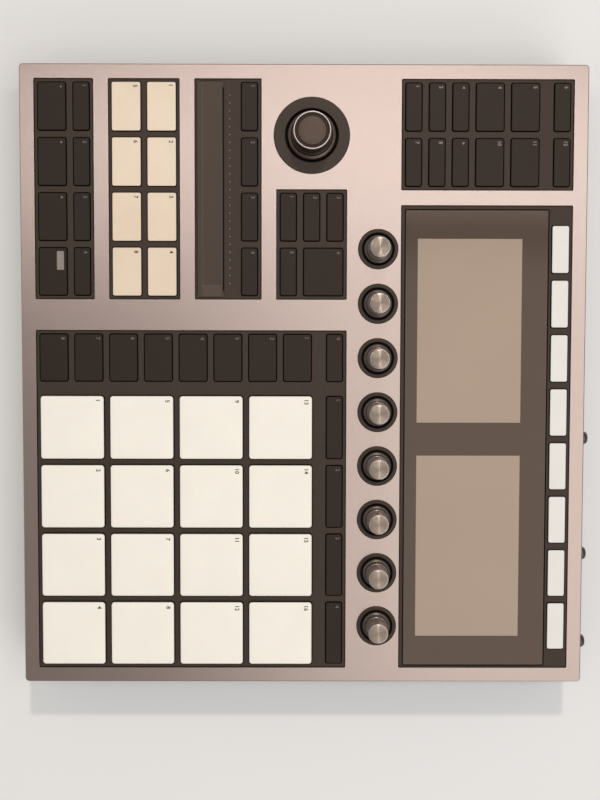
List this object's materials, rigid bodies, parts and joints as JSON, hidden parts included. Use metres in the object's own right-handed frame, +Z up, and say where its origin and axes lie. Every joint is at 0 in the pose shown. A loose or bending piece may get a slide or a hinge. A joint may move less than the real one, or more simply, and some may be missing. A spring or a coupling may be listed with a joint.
{
  "type": "groovebox controller",
  "caption": "Table-top groovebox with square drum pads, twin displays under one glass, turn knobs, a large tilting knob, banks of keys and a touch strip.",
  "frame": {"origin": "on the table under the middle of the whole object, rear knobs included", "axes": "+X to the player's right, +Y to the rear with the sockets, +Z up"},
  "size_m": [0.32, 0.298, 0.0588],
  "materials": {
    "brushed_panel": "bead blasted, anodised",
    "dark_bezel": "fine matt",
    "black_case": "fine matt",
    "dark_glass": "dark printed glass",
    "display": "unlit display",
    "touch_surface": "smooth matt",
    "collar_black": "satin",
    "circuit_board": "solder mask",
    "socket_black": "moulded",
    "plated_steel": "zinc plated",
    "foot_rubber": "matt",
    "knob_black": "satin",
    "knob_metal": "spun cap over a dark ribbed side",
    "pad_white": "milky, matt",
    "key_white": "milky, smooth",
    "key_dark": "matt"
  },
  "bodies": {
    "case": {"top_panel": "brushed_panel", "key_bezel": "dark_bezel", "bottom_case": "black_case", "rear_panel": "black_case", "display_glass": "dark_glass", "display_modules": "display", "touch_strip": "touch_surface", "knob_collars": "collar_black", "control_board": "circuit_board", "main_board": "circuit_board", "audio_jacks": "socket_black", "rear_pots": "plated_steel", "data_sockets": "plated_steel", "rubber_feet": "foot_rubber", "case_screws": "plated_steel"},
    "pad_1": {"pad_1": "pad_white"},
    "pad_2": {"pad_2": "pad_white"},
    "pad_3": {"pad_3": "pad_white"},
    "pad_4": {"pad_4": "pad_white"},
    "pad_5": {"pad_5": "pad_white"},
    "pad_6": {"pad_6": "pad_white"},
    "pad_7": {"pad_7": "pad_white"},
    "pad_8": {"pad_8": "pad_white"},
    "pad_9": {"pad_9": "pad_white"},
    "pad_10": {"pad_10": "pad_white"},
    "pad_11": {"pad_11": "pad_white"},
    "pad_12": {"pad_12": "pad_white"},
    "pad_13": {"pad_13": "pad_white"},
    "pad_14": {"pad_14": "pad_white"},
    "pad_15": {"pad_15": "pad_white"},
    "pad_16": {"pad_16": "pad_white"},
    "knob_1": {"knob_1": "knob_metal"},
    "knob_2": {"knob_2": "knob_metal"},
    "knob_3": {"knob_3": "knob_metal"},
    "knob_4": {"knob_4": "knob_metal"},
    "knob_5": {"knob_5": "knob_metal"},
    "knob_6": {"knob_6": "knob_metal"},
    "knob_7": {"knob_7": "knob_metal"},
    "knob_8": {"knob_8": "knob_metal"},
    "encoder_gimbal": {"encoder_gimbal": "plated_steel"},
    "encoder_cradle": {"encoder_cradle": "plated_steel"},
    "encoder_shaft": {"encoder_shaft": "plated_steel"},
    "encoder_knob": {"encoder_knob": "knob_black"},
    "mic_gain_knob": {"mic_gain_knob": "knob_black"},
    "main_volume_knob": {"main_volume_knob": "knob_black"},
    "phones_knob": {"phones_knob": "knob_black"},
    "power_switch": {"power_switch": "socket_black"},
    "play_key": {"play_key": "key_dark"},
    "record_key": {"record_key": "key_dark"},
    "stop_key": {"stop_key": "key_dark"},
    "shift_key": {"shift_key": "key_dark"},
    "transport_small_keys": {"transport_small_keys": "key_dark"},
    "group_keys": {"group_keys": "key_white"},
    "strip_keys": {"strip_keys": "key_dark"},
    "repeat_key": {"repeat_key": "key_dark"},
    "encoder_keys": {"encoder_keys": "key_dark"},
    "display_keys": {"display_keys": "key_white"},
    "browse_keys": {"browse_keys": "key_dark"},
    "scene_keys": {"scene_keys": "key_dark"},
    "pad_mode_keys": {"pad_mode_keys": "key_dark"}
  },
  "joints": [
    {"name": "pad_1_press", "type": "slide", "parent": "case", "child": "pad_1", "axis": [0, 0, -1], "range_m": [0, 0.0008], "stiffness_N_per_m": 2000, "springref_m": -0.0004},
    {"name": "pad_2_press", "type": "slide", "parent": "case", "child": "pad_2", "axis": [0, 0, -1], "range_m": [0, 0.0008], "stiffness_N_per_m": 2000, "springref_m": -0.0004},
    {"name": "pad_3_press", "type": "slide", "parent": "case", "child": "pad_3", "axis": [0, 0, -1], "range_m": [0, 0.0008], "stiffness_N_per_m": 2000, "springref_m": -0.0004},
    {"name": "pad_4_press", "type": "slide", "parent": "case", "child": "pad_4", "axis": [0, 0, -1], "range_m": [0, 0.0008], "stiffness_N_per_m": 2000, "springref_m": -0.0004},
    {"name": "pad_5_press", "type": "slide", "parent": "case", "child": "pad_5", "axis": [0, 0, -1], "range_m": [0, 0.0008], "stiffness_N_per_m": 2000, "springref_m": -0.0004},
    {"name": "pad_6_press", "type": "slide", "parent": "case", "child": "pad_6", "axis": [0, 0, -1], "range_m": [0, 0.0008], "stiffness_N_per_m": 2000, "springref_m": -0.0004},
    {"name": "pad_7_press", "type": "slide", "parent": "case", "child": "pad_7", "axis": [0, 0, -1], "range_m": [0, 0.0008], "stiffness_N_per_m": 2000, "springref_m": -0.0004},
    {"name": "pad_8_press", "type": "slide", "parent": "case", "child": "pad_8", "axis": [0, 0, -1], "range_m": [0, 0.0008], "stiffness_N_per_m": 2000, "springref_m": -0.0004},
    {"name": "pad_9_press", "type": "slide", "parent": "case", "child": "pad_9", "axis": [0, 0, -1], "range_m": [0, 0.0008], "stiffness_N_per_m": 2000, "springref_m": -0.0004},
    {"name": "pad_10_press", "type": "slide", "parent": "case", "child": "pad_10", "axis": [0, 0, -1], "range_m": [0, 0.0008], "stiffness_N_per_m": 2000, "springref_m": -0.0004},
    {"name": "pad_11_press", "type": "slide", "parent": "case", "child": "pad_11", "axis": [0, 0, -1], "range_m": [0, 0.0008], "stiffness_N_per_m": 2000, "springref_m": -0.0004},
    {"name": "pad_12_press", "type": "slide", "parent": "case", "child": "pad_12", "axis": [0, 0, -1], "range_m": [0, 0.0008], "stiffness_N_per_m": 2000, "springref_m": -0.0004},
    {"name": "pad_13_press", "type": "slide", "parent": "case", "child": "pad_13", "axis": [0, 0, -1], "range_m": [0, 0.0008], "stiffness_N_per_m": 2000, "springref_m": -0.0004},
    {"name": "pad_14_press", "type": "slide", "parent": "case", "child": "pad_14", "axis": [0, 0, -1], "range_m": [0, 0.0008], "stiffness_N_per_m": 2000, "springref_m": -0.0004},
    {"name": "pad_15_press", "type": "slide", "parent": "case", "child": "pad_15", "axis": [0, 0, -1], "range_m": [0, 0.0008], "stiffness_N_per_m": 2000, "springref_m": -0.0004},
    {"name": "pad_16_press", "type": "slide", "parent": "case", "child": "pad_16", "axis": [0, 0, -1], "range_m": [0, 0.0008], "stiffness_N_per_m": 2000, "springref_m": -0.0004},
    {"name": "knob_1_turn", "type": "hinge", "parent": "case", "child": "knob_1", "pos_m": [-0.06605, 0.035, 0.041], "axis": [0, 0, 1], "continuous": true},
    {"name": "knob_2_turn", "type": "hinge", "parent": "case", "child": "knob_2", "pos_m": [-0.038, 0.035, 0.041], "axis": [0, 0, 1], "continuous": true},
    {"name": "knob_3_turn", "type": "hinge", "parent": "case", "child": "knob_3", "pos_m": [-0.00995, 0.035, 0.041], "axis": [0, 0, 1], "continuous": true},
    {"name": "knob_4_turn", "type": "hinge", "parent": "case", "child": "knob_4", "pos_m": [0.0181, 0.035, 0.041], "axis": [0, 0, 1], "continuous": true},
    {"name": "knob_5_turn", "type": "hinge", "parent": "case", "child": "knob_5", "pos_m": [0.04615, 0.035, 0.041], "axis": [0, 0, 1], "continuous": true},
    {"name": "knob_6_turn", "type": "hinge", "parent": "case", "child": "knob_6", "pos_m": [0.0742, 0.035, 0.041], "axis": [0, 0, 1], "continuous": true},
    {"name": "knob_7_turn", "type": "hinge", "parent": "case", "child": "knob_7", "pos_m": [0.10225, 0.035, 0.041], "axis": [0, 0, 1], "continuous": true},
    {"name": "knob_8_turn", "type": "hinge", "parent": "case", "child": "knob_8", "pos_m": [0.1303, 0.035, 0.041], "axis": [0, 0, 1], "continuous": true},
    {"name": "encoder_tilt_front_rear", "type": "hinge", "parent": "case", "child": "encoder_gimbal", "pos_m": [-0.1239, 0.00068, 0.026], "axis": [1, 0, 0], "range_deg": [-3, 3], "stiffness_Nm_per_rad": 1},
    {"name": "encoder_tilt_left_right", "type": "hinge", "parent": "encoder_gimbal", "child": "encoder_cradle", "pos_m": [-0.1239, 0.00068, 0.026], "axis": [0, 1, 0], "range_deg": [-3, 3], "stiffness_Nm_per_rad": 1},
    {"name": "encoder_push", "type": "slide", "parent": "encoder_cradle", "child": "encoder_shaft", "axis": [0, 0, -1], "range_m": [0, 0.0008], "stiffness_N_per_m": 1500, "springref_m": -0.0006},
    {"name": "encoder_turn", "type": "hinge", "parent": "encoder_shaft", "child": "encoder_knob", "pos_m": [-0.1239, 0.00068, 0.041], "axis": [0, 0, 1], "continuous": true},
    {"name": "mic_gain_knob_turn", "type": "hinge", "parent": "case", "child": "mic_gain_knob", "pos_m": [0.03304, 0.1392, 0.021], "axis": [0, 1, 0], "range_deg": [-150, 150]},
    {"name": "main_volume_knob_turn", "type": "hinge", "parent": "case", "child": "main_volume_knob", "pos_m": [0.09535, 0.1392, 0.021], "axis": [0, 1, 0], "range_deg": [-150, 150]},
    {"name": "phones_knob_turn", "type": "hinge", "parent": "case", "child": "phones_knob", "pos_m": [0.14319, 0.1392, 0.021], "axis": [0, 1, 0], "range_deg": [-150, 150]},
    {"name": "power_switch_rock", "type": "hinge", "parent": "case", "child": "power_switch", "pos_m": [-0.14021, 0.1386, 0.0235], "axis": [0, 0, 1], "range_deg": [0, 14]},
    {"name": "play_key_press", "type": "slide", "parent": "case", "child": "play_key", "axis": [0, 0, -1], "range_m": [0, 0.001], "stiffness_N_per_m": 1000, "springref_m": -0.0005},
    {"name": "record_key_press", "type": "slide", "parent": "case", "child": "record_key", "axis": [0, 0, -1], "range_m": [0, 0.001], "stiffness_N_per_m": 1000, "springref_m": -0.0005},
    {"name": "stop_key_press", "type": "slide", "parent": "case", "child": "stop_key", "axis": [0, 0, -1], "range_m": [0, 0.001], "stiffness_N_per_m": 1000, "springref_m": -0.0005},
    {"name": "shift_key_press", "type": "slide", "parent": "case", "child": "shift_key", "axis": [0, 0, -1], "range_m": [0, 0.001], "stiffness_N_per_m": 1000, "springref_m": -0.0005},
    {"name": "transport_small_keys_press", "type": "slide", "parent": "case", "child": "transport_small_keys", "axis": [0, 0, -1], "range_m": [0, 0.001], "stiffness_N_per_m": 1000, "springref_m": -0.0005},
    {"name": "group_keys_press", "type": "slide", "parent": "case", "child": "group_keys", "axis": [0, 0, -1], "range_m": [0, 0.001], "stiffness_N_per_m": 1000, "springref_m": -0.0005},
    {"name": "strip_keys_press", "type": "slide", "parent": "case", "child": "strip_keys", "axis": [0, 0, -1], "range_m": [0, 0.001], "stiffness_N_per_m": 1000, "springref_m": -0.0005},
    {"name": "repeat_key_press", "type": "slide", "parent": "case", "child": "repeat_key", "axis": [0, 0, -1], "range_m": [0, 0.001], "stiffness_N_per_m": 1000, "springref_m": -0.0005},
    {"name": "encoder_keys_press", "type": "slide", "parent": "case", "child": "encoder_keys", "axis": [0, 0, -1], "range_m": [0, 0.001], "stiffness_N_per_m": 1000, "springref_m": -0.0005},
    {"name": "display_keys_press", "type": "slide", "parent": "case", "child": "display_keys", "axis": [0, 0, -1], "range_m": [0, 0.001], "stiffness_N_per_m": 1000, "springref_m": -0.0005},
    {"name": "browse_keys_press", "type": "slide", "parent": "case", "child": "browse_keys", "axis": [0, 0, -1], "range_m": [0, 0.001], "stiffness_N_per_m": 1000, "springref_m": -0.0005},
    {"name": "scene_keys_press", "type": "slide", "parent": "case", "child": "scene_keys", "axis": [0, 0, -1], "range_m": [0, 0.001], "stiffness_N_per_m": 1000, "springref_m": -0.0005},
    {"name": "pad_mode_keys_press", "type": "slide", "parent": "case", "child": "pad_mode_keys", "axis": [0, 0, -1], "range_m": [0, 0.001], "stiffness_N_per_m": 1000, "springref_m": -0.0005}
  ]
}
